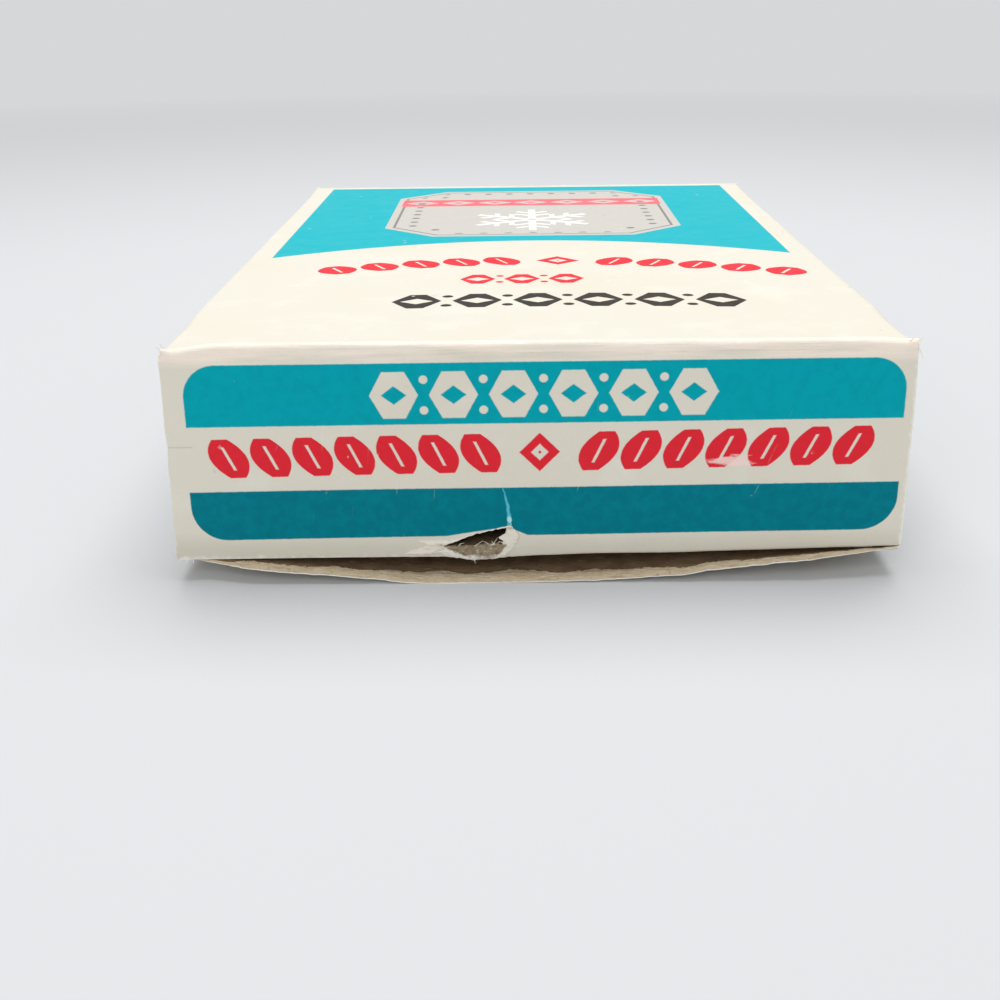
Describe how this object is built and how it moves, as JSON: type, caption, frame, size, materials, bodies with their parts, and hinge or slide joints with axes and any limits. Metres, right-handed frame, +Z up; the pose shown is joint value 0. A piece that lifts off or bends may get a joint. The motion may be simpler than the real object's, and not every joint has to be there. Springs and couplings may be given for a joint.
{
  "type": "boxed catalytic hand warmer",
  "caption": "Worn tuck-end paperboard carton, printed with teal bands and bars, holding an oval catalytic pocket hand warmer with lift-off vented cap, pouch and leaflet.",
  "frame": {"origin": "on the surface that the carton stands on, under the middle of its sagging bottom panel", "axes": "+Z up, +Y along the carton from the pictured front end to the rear end, +X across it to the right as seen from the front"},
  "size_m": [0.076, 0.1164, 0.0258],
  "materials": {
    "printed_board": "clay-coated greyboard, printed in teal, red and black, worn at the creases",
    "chromed_brass": "polished",
    "nickel_plate": "satin nickel",
    "cotton": "loose cotton wadding",
    "felt": "pressed felt",
    "catalyst": "fibre mat, dark with catalyst",
    "steel_gauze": "perforated sheet",
    "flannel": "brushed flannel",
    "leaflet_paper": "thin uncoated paper"
  },
  "bodies": {
    "carton": {"carton_sleeve": "printed_board"},
    "front_closure": {"front_end_panel": "printed_board"},
    "front_tuck": {"front_tuck_flap": "printed_board"},
    "front_dust_left": {"front_dust_flap_left": "printed_board"},
    "front_dust_right": {"front_dust_flap_right": "printed_board"},
    "rear_closure": {"rear_end_panel": "printed_board"},
    "rear_tuck": {"rear_tuck_flap": "printed_board"},
    "rear_dust_left": {"rear_dust_flap_left": "printed_board"},
    "rear_dust_right": {"rear_dust_flap_right": "printed_board"},
    "warmer": {"tank_shell": "chromed_brass", "tank_top": "nickel_plate", "mouth_collar": "nickel_plate", "cotton_wadding": "cotton", "wick_felt": "felt"},
    "burner": {"burner_base": "chromed_brass", "catalyst_mat": "catalyst", "burner_gauze": "steel_gauze", "burner_guard": "chromed_brass"},
    "cap": {"vented_cap": "chromed_brass"},
    "pouch": {"flannel_pouch": "flannel"},
    "leaflet": {"instruction_leaflet": "leaflet_paper"}
  },
  "joints": [
    {"name": "front_closure_crease", "type": "hinge", "parent": "carton", "child": "front_closure", "pos_m": [0, -0.057, 0.0258], "axis": [-1, 0, 0], "range_deg": [0, 250]},
    {"name": "front_tuck_crease", "type": "hinge", "parent": "front_closure", "child": "front_tuck", "pos_m": [0, -0.057, 0.0031], "axis": [-1, 0, 0], "range_deg": [0, 25]},
    {"name": "front_dust_crease_left", "type": "hinge", "parent": "carton", "child": "front_dust_left", "pos_m": [-0.038, -0.0564, 0.0144], "axis": [0, 0, -1], "range_deg": [0, 155]},
    {"name": "front_dust_crease_right", "type": "hinge", "parent": "carton", "child": "front_dust_right", "pos_m": [0.038, -0.0564, 0.0144], "axis": [0, 0, 1], "range_deg": [0, 155]},
    {"name": "rear_closure_crease", "type": "hinge", "parent": "carton", "child": "rear_closure", "pos_m": [0, 0.057, 0.0258], "axis": [1, 0, 0], "range_deg": [0, 250]},
    {"name": "rear_tuck_crease", "type": "hinge", "parent": "rear_closure", "child": "rear_tuck", "pos_m": [0, 0.057, 0.0031], "axis": [1, 0, 0], "range_deg": [0, 25]},
    {"name": "rear_dust_crease_left", "type": "hinge", "parent": "carton", "child": "rear_dust_left", "pos_m": [-0.038, 0.0564, 0.0144], "axis": [0, 0, 1], "range_deg": [0, 155]},
    {"name": "rear_dust_crease_right", "type": "hinge", "parent": "carton", "child": "rear_dust_right", "pos_m": [0.038, 0.0564, 0.0144], "axis": [0, 0, -1], "range_deg": [0, 155]},
    {"name": "warmer_slide", "type": "slide", "parent": "carton", "child": "warmer", "axis": [0, -1, 0], "range_m": [0, 0.0388]},
    {"name": "burner_slide", "type": "slide", "parent": "warmer", "child": "burner", "axis": [0, -1, 0], "range_m": [0, 0.0062]},
    {"name": "cap_slide", "type": "slide", "parent": "warmer", "child": "cap", "axis": [0, -1, 0], "range_m": [0, 0.0288]},
    {"name": "pouch_slide", "type": "slide", "parent": "carton", "child": "pouch", "axis": [0, -1, 0], "range_m": [0, 0.0262]},
    {"name": "leaflet_slide", "type": "slide", "parent": "carton", "child": "leaflet", "axis": [0, -1, 0], "range_m": [0, 0.0175]}
  ],
  "couplings": [
    {"joint": "front_closure_crease", "follows": "warmer_slide", "rad_per_m": 112.45},
    {"joint": "front_tuck_crease", "follows": "warmer_slide", "rad_per_m": 11.245},
    {"joint": "front_dust_crease_left", "follows": "warmer_slide", "rad_per_m": 69.719},
    {"joint": "front_dust_crease_right", "follows": "warmer_slide", "rad_per_m": 69.719},
    {"joint": "rear_tuck_crease", "follows": "rear_closure_crease", "ratio": 0.1},
    {"joint": "rear_dust_crease_left", "follows": "rear_closure_crease", "ratio": 0.62},
    {"joint": "rear_dust_crease_right", "follows": "rear_closure_crease", "ratio": 0.62},
    {"joint": "burner_slide", "follows": "warmer_slide", "ratio": 0.1574},
    {"joint": "cap_slide", "follows": "warmer_slide", "ratio": 0.7422},
    {"joint": "pouch_slide", "follows": "warmer_slide", "ratio": 0.6747},
    {"joint": "leaflet_slide", "follows": "warmer_slide", "ratio": 0.4498}
  ]
}
